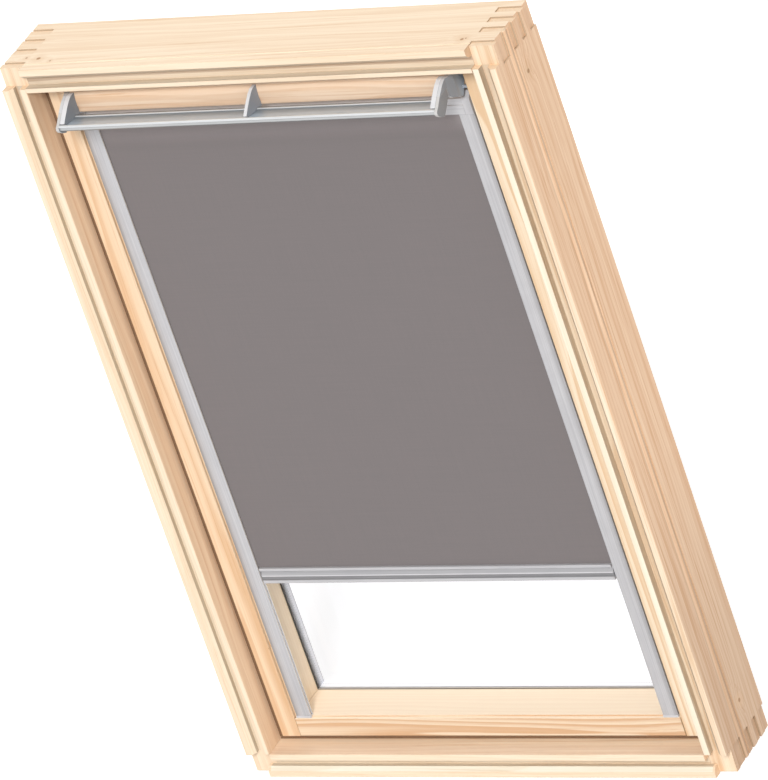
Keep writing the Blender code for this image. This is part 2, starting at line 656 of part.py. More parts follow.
def bottom_bar():
    """Handle bar on the cloth's lower edge, with a glide in each channel."""
    front, back = CHANNEL_FRONT + 0.0006, 0.0465
    z = BAR_BOTTOM
    outline = [
        (front, z), (front, z + 0.0055), (front + 0.0018, z + 0.0066), (front + 0.0018, z + 0.0105),
        (front + 0.0008, z + 0.0112), (front + 0.0006, z + 0.0124), (front + 0.0040, z + 0.0182),
        (front + 0.0040, z + 0.0205), (front, z + 0.0210), (front, z + BAR_HEIGHT),
        (back, z + BAR_HEIGHT), (back, z),
    ]
    outline = filleted(outline, {0: 0.001, 9: 0.001})
    prism("bottom_bar", outline, (-BAR_END, BAR_END), ALUMINIUM)
    for sign, word in ((-1, "left"), (1, "right")):
        glide = box(
            f"bar_glide_{word}", sorted((sign * (BAR_END + GAP), sign * 0.3000)),
            (CHANNEL_SLOT[0] + 0.0005, CHANNEL_SLOT[1] - 0.0005), (z + 0.002, z + BAR_HEIGHT - 0.002),
            PALE_PLASTIC)
        shoe = box(
            f"glide_shoe_{word}", sorted((sign * 0.2895, sign * 0.3065)),
            (CHANNEL_SLOT[0] + 0.0005, CHANNEL_BACK - CHANNEL_WALL - 0.0006),
            (z + 0.003, z + BAR_HEIGHT - 0.003), None)
        modify(glide, shoe, "UNION")


frame_members()
weather_seals()
pivots()
sash_members()
cover_profiles(*glazing())
glazing_gasket()
flap()
control_bar()
lock()
air_filter()
side_channels()
cassette()
roller()
blind_cloth()
bottom_bar()
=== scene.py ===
"""Looks for the pine roof window with its blackout roller blind.

Metres, in the same frame as the CAD: +X right seen from the room, +Y out of the room, +Z up the window.
Depths in the comments are measured outwards from the frame's room-side face, which lies at y = -0.0637.
"""

import math

import bmesh
import bpy
from mathutils import Matrix, Vector


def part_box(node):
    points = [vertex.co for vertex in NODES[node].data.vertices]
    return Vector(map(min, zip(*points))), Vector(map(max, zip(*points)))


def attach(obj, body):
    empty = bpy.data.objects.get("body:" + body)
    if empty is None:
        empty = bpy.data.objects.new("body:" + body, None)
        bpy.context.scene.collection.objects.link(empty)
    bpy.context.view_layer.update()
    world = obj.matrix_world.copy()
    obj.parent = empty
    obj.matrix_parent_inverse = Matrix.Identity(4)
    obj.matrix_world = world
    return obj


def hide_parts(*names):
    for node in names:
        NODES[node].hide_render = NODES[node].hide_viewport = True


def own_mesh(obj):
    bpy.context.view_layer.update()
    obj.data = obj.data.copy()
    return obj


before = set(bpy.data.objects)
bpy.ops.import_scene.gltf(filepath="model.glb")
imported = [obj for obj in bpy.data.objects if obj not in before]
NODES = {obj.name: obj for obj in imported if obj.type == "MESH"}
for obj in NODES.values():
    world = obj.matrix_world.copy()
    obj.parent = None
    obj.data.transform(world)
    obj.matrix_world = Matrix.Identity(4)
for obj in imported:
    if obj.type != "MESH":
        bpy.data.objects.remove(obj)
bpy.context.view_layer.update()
FACE = -0.0637
WIDE, HIGH = 0.390, 1.178  # half the frame's width, and its height

# Frame, for the painted light and shade of its faces: the lining groove runs from GROOVE[0] to GROOVE[1] in
# from the outer side
GROOVE = (0.0012, 0.0362)
GROOVE_DEPTH = 0.0136
LIP_DEPTH = 0.0024
CORNER_BLOCK = (0.031, 0.0315)
FINGER_ROOT, FINGERS_START, FINGERS_END = 0.0378, 0.0145, 0.125

# Side channels and bottom bar of the blind, for the painted light and shade of their faces
CHANNEL_SIDE = 0.2862
CHANNEL_INSIDE = (0.2864, 0.3096)
CHANNEL_HOLLOW = (0.0395, 0.0452)
CHANNEL_ROLL = (0.3020, 0.3100)
PROFILE_FRONT = 0.0424
FOLD_SOFT = 0.0003

# Small fittings
COVER_SCREW = 0.0034
COVER_SCREWS_OUT, COVER_SCREWS_UP = 0.3352, (0.150, 0.589, 1.030)
PLATE_SCREW = 0.0026
PLATE_SCREWS_OUT, PLATE_SCREWS_DEEP, PLATE_SCREWS_UP = 0.3500, 0.0253, (0.551, 0.627)
RAIL_SCREWS_OUT, TOP_SCREWS_UP, FOOT_SCREWS_UP = 0.205, 1.113, 0.0545
LATCH_SCREWS_DEEP = 0.0118


def srgb(code):
    """Linear colour from a hex code."""
    value = [int(code[i:i + 2], 16) / 255 for i in (1, 3, 5)]
    return tuple(v / 12.92 if v <= 0.04045 else ((v + 0.055) / 1.055) ** 2.4 for v in value) + (1.0,)


# Camera at the photograph's viewing angle, at a distance from the point it is aimed at and rolled on its axis
AIM, DISTANCE = (0.0121, -0.0122, 0.6166), 12.0
AZIMUTH, ELEVATION, ROLL = (math.radians(degrees) for degrees in (35.164, 27.397, -19.327))
SENSOR_HEIGHT, LENS, CLIP_END = 36.0, 402.36, 60.0
camera = bpy.data.objects.new("camera", bpy.data.cameras.new("camera"))
bpy.context.scene.collection.objects.link(camera)
bpy.context.scene.camera = camera
camera.data.sensor_fit = "VERTICAL"
camera.data.sensor_height = SENSOR_HEIGHT
camera.data.lens = LENS
camera.data.clip_end = CLIP_END
heading = Matrix.Rotation(AZIMUTH, 4, "Z") @ Matrix.Rotation(math.pi / 2 - ELEVATION, 4, "X")
heading = heading @ Matrix.Rotation(ROLL, 4, "Z")
camera.matrix_world = Matrix.Translation(AIM) @ heading @ Matrix.Translation((0.0, 0.0, DISTANCE))


class Graph:
    """Short way to write a node material."""

    def __init__(self, name):
        self.material = bpy.data.materials.new(name)
        self.material.use_nodes = True
        self.tree = self.material.node_tree
        self.shader = self.tree.nodes["Principled BSDF"]
        self.output = self.tree.nodes["Material Output"]

    def put(self, socket, value):
        if isinstance(value, bpy.types.NodeSocket):
            self.tree.links.new(value, socket)
        else:
            socket.default_value = value

    def node(self, kind, inputs=None, **settings):
        made = self.tree.nodes.new(kind)
        for key, value in settings.items():
            setattr(made, key, value)
        for key, value in (inputs or {}).items():
            self.put(made.inputs[key], value)
        return made

    def maths(self, operation, a, b=0.0, c=0.0):
        made = self.node("ShaderNodeMath", operation=operation)
        for socket, value in zip(made.inputs, (a, b, c)):
            self.put(socket, value)
        return made.outputs[0]

    def times(self, a, b):
        return self.maths("MULTIPLY", a, b)

    def plus(self, a, b):
        return self.maths("ADD", a, b)

    def minus(self, a, b):
        return self.maths("SUBTRACT", a, b)

    def size(self, a):
        return self.maths("ABSOLUTE", a)

    def above(self, a, b):
        return self.maths("GREATER_THAN", a, b)

    def below(self, a, b):
        return self.maths("LESS_THAN", a, b)

    def larger(self, a, b):
        return self.maths("MAXIMUM", a, b)

    def split(self, vector):
        return self.node("ShaderNodeSeparateXYZ", {0: vector}).outputs

    def grey(self, level):
        return self.node("ShaderNodeCombineXYZ", {0: level, 1: level, 2: level}).outputs[0]

    def vector(self, operation, a, b=(0, 0, 0)):
        made = self.node("ShaderNodeVectorMath", operation=operation)
        self.put(made.inputs[0], a)
        self.put(made.inputs[1], b)
        return made.outputs["Value"] if operation in ("LENGTH", "DOT_PRODUCT") else made.outputs[0]

    def spread(self, value, low, high, to_low=0.0, to_high=1.0):
        made = self.node("ShaderNodeMapRange", interpolation_type="SMOOTHSTEP")
        for socket, number in zip(made.inputs, (value, low, high, to_low, to_high)):
            self.put(socket, number)
        return made.outputs[0]

    def noise(self, where, scale, detail=2.0, roughness=0.5):
        inputs = {"Vector": where, "Scale": scale, "Detail": detail, "Roughness": roughness}
        return self.node("ShaderNodeTexNoise", inputs).outputs["Fac"]

    def mix(self, share, a, b, blend="MIX"):
        made = self.node("ShaderNodeMix", data_type="RGBA", blend_type=blend)
        self.put(made.inputs["Factor"], share)
        self.put(made.inputs[6], a)
        self.put(made.inputs[7], b)
        return made.outputs[2]

    def where(self):
        return self.node("ShaderNodeTexCoord").outputs["Object"]

    def facing(self):
        return self.node("ShaderNodeTexCoord").outputs["Normal"]

    def scaled(self, where, factors):
        return self.node("ShaderNodeMapping", {"Vector": where, "Scale": factors}).outputs[0]

    def bump(self, height, distance, strength=1.0):
        made = self.node("ShaderNodeBump", {"Height": height, "Distance": distance, "Strength": strength})
        self.put(self.shader.inputs["Normal"], made.outputs[0])

    def finish(self, colour=None, roughness=None, **more):
        if colour is not None:
            self.put(self.shader.inputs["Base Color"], colour)
        if roughness is not None:
            self.put(self.shader.inputs["Roughness"], roughness)
        for key, value in more.items():
            self.put(self.shader.inputs[key.replace("_", " ")], value)
        return self.material


def frame_tones(g, colour, where, across, slope, along, corner, inner_lip):
    """Painted light and shade on the frame's own faces, with its dark finger joints.

    across holds the parts of the normal. The outer sides get a warm painted shade that deepens towards the
    bottom, with bands of painted shade and painted highlight along their shallow grooves, and the inner sides
    get painted shade that deepens towards the top. The lips get a painted highlight. The lining groove gets
    painted shade on its floor and walls, and its slope gets painted shade where the slope tone is below one
    and painted light where it is above. edge is the distance from the outer side that the groove runs along,
    and other that from the side at its end. corner is how far from the outer side the painted shadow line at
    the foot of the groove's slope reaches, and inner_lip is how much paler than the grain the inner lip is
    painted, as a painted highlight. The finger joints near the bottom, and the faces of the head and sill
    that look towards the sash, get painted shade.
    """
    x, y, z = g.split(where)
    far = g.size(x)
    depth = g.minus(y, FACE)
    normal_x, normal_y = (g.size(across[i]) for i in (0, 1))
    outer = g.above(far, WIDE - 0.0042)
    # Painted shade: the outer sides are tinted warm and darker towards the bottom.
    low = g.spread(z, 0.0, 0.6, 0.71, 0.96)
    side_shade = g.node("ShaderNodeCombineXYZ", {0: low, 1: g.times(low, 0.86), 2: g.times(low, 0.77)}).outputs[0]
    colour = g.mix(g.times(g.spread(normal_x, 0.5, 0.7), outer), colour, side_shade, "MULTIPLY")
    # Painted shade on the inner sides, deepening towards the top.
    inner = g.times(g.spread(normal_x, 0.75, 0.97), g.minus(1.0, outer))
    colour = g.mix(inner, colour, (0.93, 0.88, 0.85, 1.0), "MULTIPLY")
    shade = g.times(inner, g.spread(z, 0.96, 1.12))
    colour = g.mix(shade, colour, (0.86, 0.82, 0.79, 1.0), "MULTIPLY")
    # Bands of painted shade and painted highlight on the outer sides, along their shallow grooves.
    early = g.times(g.spread(depth, 0.0408, 0.0416), g.spread(depth, 0.0440, 0.0450, 1.0, 0.0))
    colour = g.mix(g.times(early, outer), colour, (0.89, 0.92, 0.93, 1.0), "MULTIPLY")
    first = g.times(g.spread(depth, 0.0450, 0.0462), g.spread(depth, 0.0495, 0.0515, 1.0, 0.0))
    colour = g.mix(g.times(first, outer), colour, (1.09, 1.10, 1.11, 1.0), "MULTIPLY")
    second = g.times(g.spread(depth, 0.0510, 0.0525), g.spread(depth, 0.0588, 0.0596, 1.0, 0.0))
    colour = g.mix(g.times(second, outer), colour, (0.86, 0.85, 0.84, 1.0), "MULTIPLY")
    to_end = g.minus(HIGH / 2, g.size(g.minus(z, HIGH / 2)))
    to_side = g.minus(WIDE, far)
    edge, other = (to_end, to_side) if along == 0 else (to_side, to_end)
    inside = g.times(g.above(edge, GROOVE[0]), g.below(edge, GROOVE[1]))
    inside = g.times(inside, g.above(other, GROOVE[0]))
    block = g.times(g.below(to_end, CORNER_BLOCK[0]), g.below(to_side, CORNER_BLOCK[1]))
    inside = g.times(inside, g.minus(1.0, block))
    shallow = g.times(g.spread(depth, 0.0004, 0.0014), g.below(depth, GROOVE_DEPTH))
    inside = g.times(inside, shallow)
    floor = g.spread(normal_y, 0.85, 0.97)
    slant = g.times(g.spread(normal_y, 0.3, 0.6), g.minus(1.0, floor))
    wall = g.spread(normal_y, 0.3, 0.6, 1.0, 0.0)
    wall = g.times(wall, g.spread(g.size(across[along]), 0.4, 0.8, 1.0, 0.0))
    # Painted highlight: the fronts of the lips fade to pale cream.
    lip = g.below(depth, LIP_DEPTH)
    share = g.spread(edge, 0.0262, 0.0270, 0.15, inner_lip)
    paler = g.times(g.times(floor, lip), share)
    colour = g.mix(paler, colour, srgb("#FFF7E3"))
    floor = g.times(floor, g.minus(1.0, lip))
    # Painted shade on the groove floor, deeper on the head and towards the head's left end.
    colour = g.mix(g.times(inside, floor), colour, (0.91, 0.95, 0.98, 1.0), "MULTIPLY")
    head = g.times(g.times(inside, floor), g.above(z, HIGH / 2 + 0.5))
    colour = g.mix(head, colour, (0.965, 0.955, 0.960, 1.0), "MULTIPLY")
    head = g.times(head, g.spread(x, -0.34, -0.22, 1.0, 0.0))
    colour = g.mix(head, colour, (0.87, 0.86, 0.85, 1.0), "MULTIPLY")
    # Painted shadow line on the groove floor at the foot of the slope.
    reach = g.spread(x, -0.37, -0.26, corner + 0.0026, corner)
    foot = g.times(floor, g.below(edge, reach))
    colour = g.mix(g.times(inside, foot), colour, (0.78, 0.72, 0.69, 1.0), "MULTIPLY")
    # On the groove's slope, painted shade where the slope tone is below one and painted light where it is
    # above; painted shade on its walls.
    colour = g.mix(g.times(inside, slant), colour, (*slope, 1.0), "MULTIPLY")
    wall_shade = (0.68, 0.72, 0.76, 1.0) if along == 0 else (0.72, 0.80, 0.86, 1.0)
    colour = g.mix(g.times(inside, wall), colour, wall_shade, "MULTIPLY")
    joint = g.times(g.spread(normal_y, 0.85, 0.97), g.below(depth, FINGERS_END))
    root = g.below(g.size(g.minus(other, FINGER_ROOT)), 0.0004)
    root = g.times(root, g.spread(g.size(across[along]), 0.75, 0.97))
    joint = g.times(g.larger(joint, root), g.above(depth, FINGERS_START))
    colour = g.mix(joint, colour, srgb("#C5AD92"))
    # Painted shade on the finger joints near the bottom.
    joint = g.times(joint, g.below(z, 0.1))
    colour = g.mix(joint, colour, (0.72, 0.68, 0.64, 1.0), "MULTIPLY")
    if along == 0:
        # Painted shade on the faces of the head and sill that look towards the sash, strongest towards the
        # room.
        rail = g.times(g.spread(g.size(across[2]), 0.75, 0.97), g.spread(edge, 0.0355, 0.037))
        rail = g.times(rail, g.spread(depth, 0.036, 0.018))
        colour = g.mix(rail, colour, (0.86, 0.83, 0.84, 1.0), "MULTIPLY")
    return colour


def pine(name, along, pith, light, dark, knots=(), slope=None, rough=1.0, upper=None, rings=0.20, seam=None,
         corner=0.0, inner_lip=0.15, reveal_light=None):
    """Lacquered pine with its grain along one axis, 0 for X and 2 for Z.

    pith is the centre of the growth rings in the two other axes and knots holds (point, radius) pairs.
    slope is the tone of the slanted side of the frame's groove, for frame members only: painted shade where
    it is below one and painted light where it is above, and with it the frame gets the other painted light
    and shade of frame_tones. rough scales the contrast of the grain and rings is that of the growth rings.
    upper is a paler colour that the faces looking up fade to, as painted light, and seam is the distance from
    the middle at which a rail meets the stiles. The reveal colour (reveal) is painted light on a stile's side
    towards the glass.
    """
    g = Graph(name)
    where = g.where()

    def stretched(across, lengthways):
        factors = [across, across, across]
        factors[along] = lengthways
        return g.scaled(bent, factors)

    slow = [7.0, 7.0, 7.0]
    slow[along] = 1.1
    wander = g.node("ShaderNodeTexNoise", {"Vector": g.scaled(where, slow), "Scale": 1.0, "Detail": 2.0})
    drift = g.vector("SCALE", g.vector("SUBTRACT", wander.outputs["Color"], (0.5, 0.5, 0.5)))
    drift.node.inputs["Scale"].default_value = 0.030
    bent = g.vector("ADD", where, drift)
    knot_mask, halo = None, None
    for centre, radius in knots:
        reach = [1.0, 1.0, 1.0]
        reach[along] = 0.55
        gap = g.vector("LENGTH", g.vector("MULTIPLY", g.vector("SUBTRACT", bent, centre), reach))
        push = g.spread(gap, 0.0, radius * 5, radius * 1.3, 0.0)
        bent = g.vector("ADD", bent, g.grey(push))
        away = g.vector("LENGTH", g.vector("SUBTRACT", where, centre))
        spot = g.spread(away, radius * 0.45, radius, 1.0, 0.0)
        glow = g.spread(away, radius, radius * 4, 0.35, 0.0)
        knot_mask = spot if knot_mask is None else g.larger(knot_mask, spot)
        halo = glow if halo is None else g.larger(halo, glow)
    flat = [1.0, 1.0, 1.0]
    flat[along] = 0.0
    centre = list(pith)
    centre.insert(along, 0.0)
    radial = g.vector("LENGTH", g.vector("SUBTRACT", g.vector("MULTIPLY", bent, flat), centre))
    uneven = g.noise(stretched(22.0, 1.2), 1.0, 2.0)
    turns = g.plus(g.maths("DIVIDE", radial, 0.0075), g.times(uneven, 5.0))
    year = g.maths("FRACT", turns)
    late = g.times(g.spread(year, 0.15, 0.9), g.spread(year, 1.0, 0.9))
    bands = g.spread(g.noise(stretched(55.0, 0.9), 1.0, 3.0, 0.55), 0.35, 0.68)
    threads = g.spread(g.noise(stretched(300.0, 2.6), 1.0, 4.0, 0.65), 0.52, 0.70)
    fibre = g.noise(stretched(1300.0, 16.0), 1.0, 3.0, 0.6)
    share = g.times(late, rings * rough)
    share = g.plus(share, g.times(bands, 0.26 * rough))
    share = g.plus(share, g.times(threads, 0.42 * rough))
    share = g.plus(share, g.spread(fibre, 0.3, 0.75, 0.0, 0.16 * rough))
    across = g.split(g.facing())
    ends = g.spread(g.size(across[along]), 0.8, 0.95)
    colour = g.mix(share, light, dark)
    cut = g.mix(g.times(g.noise(where, 700.0, 3.0), 0.5), g.mix(0.45, light, dark), dark)
    colour = g.mix(g.times(ends, 0.7), colour, cut)
    if upper:
        # Painted light: the faces that look up fade to the paler upper colour.
        colour = g.mix(g.spread(across[2], 0.6, 0.95, 0.0, 0.85), colour, upper)
    if seam:
        far = g.size(g.split(where)[0])
        colour = g.mix(g.spread(far, seam - 0.0011, seam - 0.0005, 0.0, 0.75), colour, srgb("#A07C52"))
    if reveal_light:
        # Painted light on a stile's side towards the glass.
        depth = g.minus(g.split(where)[1], FACE)
        inner = g.times(g.above(depth, 0.044), g.below(depth, 0.112))
        inner = g.times(inner, g.spread(g.size(across[0]), 0.7, 0.95, 0.0, 0.75))
        colour = g.mix(inner, colour, reveal_light)
    if slope:
        colour = frame_tones(g, colour, where, across, slope, along, corner, inner_lip)
    if knot_mask:
        colour = g.mix(halo, colour, dark)
        core = g.mix(g.noise(where, 900.0), srgb("#8F6238"), srgb("#B98450"))
        colour = g.mix(g.times(knot_mask, 0.85), colour, core)
    height = g.plus(g.times(fibre, 0.6), g.times(threads, 0.4))
    g.bump(height, 0.00010, 0.6)
    return g.finish(colour, g.spread(fibre, 0.2, 0.8, 0.45, 0.60), Coat_Weight=0.10, Coat_Roughness=0.4)


def metal(name, light, dark, roughness, along=0, metallic=0.75, dish=None, channel_shading=False, fold_shading=()):
    """Extruded aluminium or steel with fine drawn lines along one axis.

    dish holds (back, front, tone) for the handle: painted shade fades from the back of its dish to the front,
    its faces that look down get painted shade, the faces that look up behind the dish a painted shadow, its
    bead a painted highlight and the dish a cooler painted reflection. With the channel switch (hollow), the
    inside of a side channel and its inner side wall get painted light and its rolled outer edge painted
    shade. The fold shading (folds) holds (low, high, tone) for the painted shade of the recesses and the
    painted highlight of the bead on the bottom bar's front.
    """
    g = Graph(name)
    where = g.where()
    stretch = [1100.0, 1100.0, 1100.0]
    stretch[along] = 4.0
    lines = g.noise(g.scaled(where, stretch), 1.0, 2.0, 0.6)
    patch = g.noise(where, 30.0, 3.0)
    colour = g.mix(g.spread(lines, 0.25, 0.75), light, dark)
    colour = g.mix(g.spread(patch, 0.4, 0.8, 0.0, 0.3), colour, dark)
    x, y, z = g.split(where)
    depth = g.minus(y, FACE)
    if dish:
        # Painted shade fading from the back of the dish to the front, and painted shade on the faces that
        # look down.
        tone = g.spread(depth, dish[1], dish[0], 1.0, dish[2])
        tone = g.larger(tone, g.above(depth, dish[0]))
        normal = g.split(g.facing())
        tone = g.times(tone, g.spread(normal[2], -0.75, 0.20, 0.30, 1.0))
        # Painted shadow on the faces that look up behind the dish.
        rise = g.times(g.spread(normal[2], 0.8, 0.95), g.spread(depth, 0.0042, 0.0052))
        tone = g.times(tone, g.minus(1.0, g.times(rise, 0.75)))
        # Painted highlight on the bead.
        bead = g.times(g.spread(depth, -0.0270, -0.0285), g.spread(normal[2], -0.15, 0.15, 0.0, 0.12))
        tone = g.times(tone, g.plus(1.0, bead))
        colour = g.mix(1.0, colour, g.grey(tone), "MULTIPLY")
        # Cooler painted reflection in the dish.
        basin = g.times(g.below(depth, dish[0]), g.spread(normal[2], 0.5, 0.8))
        basin = g.times(basin, g.spread(depth, dish[1] - 0.0060, dish[1] - 0.0020))
        colour = g.mix(basin, colour, (1.0, 1.12, 1.25, 1.0), "MULTIPLY")
    front = g.below(depth, PROFILE_FRONT)
    # Painted shade in the recesses and a painted highlight on the bead of the bottom bar's front.
    for low, high, tone in fold_shading:
        rise = g.spread(z, low - FOLD_SOFT, low + FOLD_SOFT)
        fold = g.times(rise, g.spread(z, high - FOLD_SOFT, high + FOLD_SOFT, 1.0, 0.0))
        colour = g.mix(g.times(fold, front), colour, (tone, tone, tone, 1.0), "MULTIPLY")
    if channel_shading:
        # Painted light inside the side channel.
        far = g.size(x)
        inside = g.times(g.above(far, CHANNEL_INSIDE[0]), g.below(far, CHANNEL_INSIDE[1]))
        inside = g.times(inside, g.above(depth, CHANNEL_HOLLOW[0]))
        inside = g.times(inside, g.below(depth, CHANNEL_HOLLOW[1]))
        colour = g.mix(inside, colour, (0.93, 0.93, 0.95, 1.0))
        # Painted light on the channel's inner side wall.
        across = g.split(g.facing())[0]
        side = g.times(g.spread(g.size(across), 0.6, 0.9), g.below(far, CHANNEL_SIDE))
        colour = g.mix(side, colour, (1.42, 1.32, 1.15, 1.0), "MULTIPLY")
        # Painted shade on the rolled outer edge.
        rolled = g.times(front, g.spread(far, *CHANNEL_ROLL))
        colour = g.mix(rolled, colour, (0.70, 0.70, 0.70, 1.0), "MULTIPLY")
    g.bump(lines, 0.00001, 0.25)
    return g.finish(colour, g.spread(patch, 0.3, 0.7, roughness, roughness + 0.08), Metallic=metallic)


def plastic(name, light, dark, roughness=0.42, grain=2200.0, flank_shade=None, recess=False, fade=None):
    """Moulded plastic with a fine spark-eroded texture.

    fade holds two distances from the middle of the window between which a painted shade falls.
    The flank tint (flank) is painted shade on the faces that look sideways; with recess it turns paler and
    bluer towards the back, in the narrow space beside the sash, as painted light there, the slanted faces get
    more painted shade, and the pin gets the sides' painted shade.
    """
    g = Graph(name)
    where = g.where()
    speck = g.noise(where, grain, 2.0, 0.6)
    patch = g.noise(where, 22.0, 2.0)
    colour = g.mix(g.spread(patch, 0.3, 0.7), light, dark)
    colour = g.mix(g.spread(speck, 0.3, 0.8, 0.0, 0.25), colour, dark)
    if fade:
        # Painted shade falling towards the outer ends.
        far = g.size(g.split(where)[0])
        colour = g.mix(g.spread(far, *fade), colour, (0.80, 0.80, 0.80, 1.0), "MULTIPLY")
    if flank_shade:
        # Painted shade on the faces that look sideways.
        across = g.split(g.facing())[0]
        sides = g.spread(g.size(across), 0.6, 0.9)
        tint = (*flank_shade, 1.0)
        if recess:
            # Beside the sash the painted shade turns paler towards the back as painted light, the slanted
            # faces get more painted shade, and the pin gets the sides' painted shade.
            x, y, _ = g.split(where)
            tint = g.mix(g.spread(y, FACE + 0.017, FACE + 0.034), tint, (0.60, 0.72, 0.85, 1.0))
            slanted = g.spread(g.size(across), 0.98, 0.90)
            tint = g.mix(g.times(slanted, 0.9), tint, (0.80, 0.78, 0.75, 1.0), "MULTIPLY")
            pin = g.above(g.size(x), 0.3068)
            sides = g.larger(sides, pin)
            tint = g.mix(pin, tint, (*flank_shade, 1.0))
        colour = g.mix(sides, colour, tint, "MULTIPLY")
    g.bump(speck, 0.00003, 0.4)
    return g.finish(colour, g.spread(speck, 0.2, 0.8, roughness, roughness + 0.15))


CLOTH_LOW, CLOTH_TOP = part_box("blackout_fabric")[0][2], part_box("blackout_fabric")[1][2]


def cloth(name, light, dark, metre_threads=1500.0):
    """Closely woven blackout cloth: threads along X and Z, with a slight slub, and painted light towards its
    top.
    """
    g = Graph(name)
    where = g.where()
    x, _, z = g.split(where)
    turn_x = g.times(x, metre_threads * math.pi)
    turn_z = g.times(z, metre_threads * math.pi)
    warp = g.size(g.maths("SINE", turn_x))
    weft = g.size(g.maths("SINE", turn_z))
    over = g.above(g.times(g.maths("SINE", turn_x), g.maths("SINE", turn_z)), 0.0)
    threads = g.mix(over, warp, weft)
    slub_x = g.noise(g.scaled(where, (420.0, 1.0, 9.0)), 1.0, 2.0)
    slub_z = g.noise(g.scaled(where, (9.0, 1.0, 420.0)), 1.0, 2.0)
    slub = g.times(g.plus(slub_x, slub_z), 0.5)
    broad = g.noise(where, 5.0, 2.0)
    colour = g.mix(g.spread(slub, 0.35, 0.65, 0.3, 0.7), light, dark)
    colour = g.mix(g.spread(broad, 0.3, 0.7, 0.0, 0.15), colour, dark)
    # Painted light towards the top of the cloth, where the handle's shadow falls.
    top_light = g.spread(z, 1.022, 1.060, 1.0, 1.85)
    colour = g.mix(1.0, colour, g.grey(top_light), "MULTIPLY")
    height = g.plus(g.times(threads, 0.8), g.times(slub, 0.2))
    g.bump(height, 0.00004, 0.4)
    return g.finish(colour, 0.85, Sheen_Weight=0.15, Sheen_Roughness=0.5)


def rubber(name, colour, roughness=0.6, upper=None):
    """Matt rubber; upper is a paler colour painted on the faces that look up, as painted light."""
    g = Graph(name)
    where = g.where()
    speck = g.noise(where, 1500.0, 3.0)
    shade = g.mix(g.spread(speck, 0.3, 0.7), colour, tuple(c * 1.6 for c in colour[:3]) + (1.0,))
    if upper:
        # Painted light: the faces that look up fade to the paler upper colour.
        rise = g.split(g.facing())[2]
        shade = g.mix(g.spread(rise, 0.6, 0.95), shade, upper)
    g.bump(speck, 0.00005, 0.4)
    return g.finish(shade, g.spread(speck, 0.3, 0.7, roughness, roughness + 0.2))


def foam(name, light, dark):
    """Open-cell foam: dark pores in a grey skeleton."""
    g = Graph(name)
    where = g.where()
    cells = g.node("ShaderNodeTexVoronoi", {"Vector": where, "Scale": 700.0}).outputs["Distance"]
    pores = g.spread(cells, 0.15, 0.45)
    colour = g.mix(pores, dark, light)
    colour = g.mix(g.spread(g.noise(where, 60.0, 3.0), 0.4, 0.8, 0.0, 0.4), colour, dark)
    g.bump(pores, 0.0004, 0.8)
    return g.finish(colour, 0.95)


def spacer_bar(name):
    """Bright rolled spacer with a row of pinholes; its faces that look up get a painted reflection of the
    sky.
    """
    g = Graph(name)
    where = g.where()
    x, y, z = g.split(where)
    facing = g.split(g.facing())
    run = g.mix(g.above(g.size(facing[0]), 0.5), x, z)
    step = g.minus(g.maths("FRACT", g.times(run, 250.0)), 0.5)
    off = g.times(g.minus(y, FACE + 0.1203), 250.0)
    dot = g.vector("LENGTH", g.node("ShaderNodeCombineXYZ", {0: step, 1: off, 2: 0.0}).outputs[0])
    colour = g.mix(g.spread(g.noise(where, 90.0, 3.0), 0.3, 0.7), srgb("#E2E3E8"), srgb("#D6D8DF"))
    # Painted shade on the faces that look sideways, darkest towards the room, and a painted shadow line along
    # the back edge.
    spacer_shade = g.spread(y, FACE + 0.1125, FACE + 0.1220, 0.30, 1.05)
    spacer_shade = g.times(spacer_shade, g.above(g.size(facing[0]), 0.5))
    spacer_shade = g.larger(spacer_shade, g.below(g.size(facing[0]), 0.5))
    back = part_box("glass_spacer")[1][1]
    spacer_shade = g.times(spacer_shade, g.spread(y, back - 0.0018, back - 0.0010, 1.0, 0.70))
    colour = g.mix(1.0, colour, g.grey(spacer_shade), "MULTIPLY")
    # Painted reflection of the sky on the faces that look up.
    colour = g.mix(g.spread(facing[2], 0.6, 0.95), colour, (0.97, 0.97, 0.98, 1.0))
    colour = g.mix(g.spread(dot, 0.14, 0.20, 0.7, 0.0), colour, srgb("#77797F"))
    return g.finish(colour, g.spread(g.noise(where, 300.0), 0.3, 0.7, 0.38, 0.5), Metallic=0.2)


def wound(name):
    """Grey cloth wound on the roller, with the tube's bare metal at its two ends."""
    g = Graph(name)
    where = g.where()
    slub = g.noise(g.scaled(where, (9.0, 420.0, 420.0)), 1.0, 2.0)
    weave = g.mix(g.spread(slub, 0.3, 0.7), srgb("#7C7474"), srgb("#6F6868"))
    bare = g.mix(g.noise(g.scaled(where, (1100.0, 40.0, 40.0)), 1.0), srgb("#C8C7CB"), srgb("#B3B2B7"))
    ends = g.size(g.split(g.facing())[0])
    ends = g.above(ends, 0.5)
    g.bump(slub, 0.00004, 0.4)
    return g.finish(g.mix(ends, weave, bare), g.minus(0.85, g.times(ends, 0.45)))


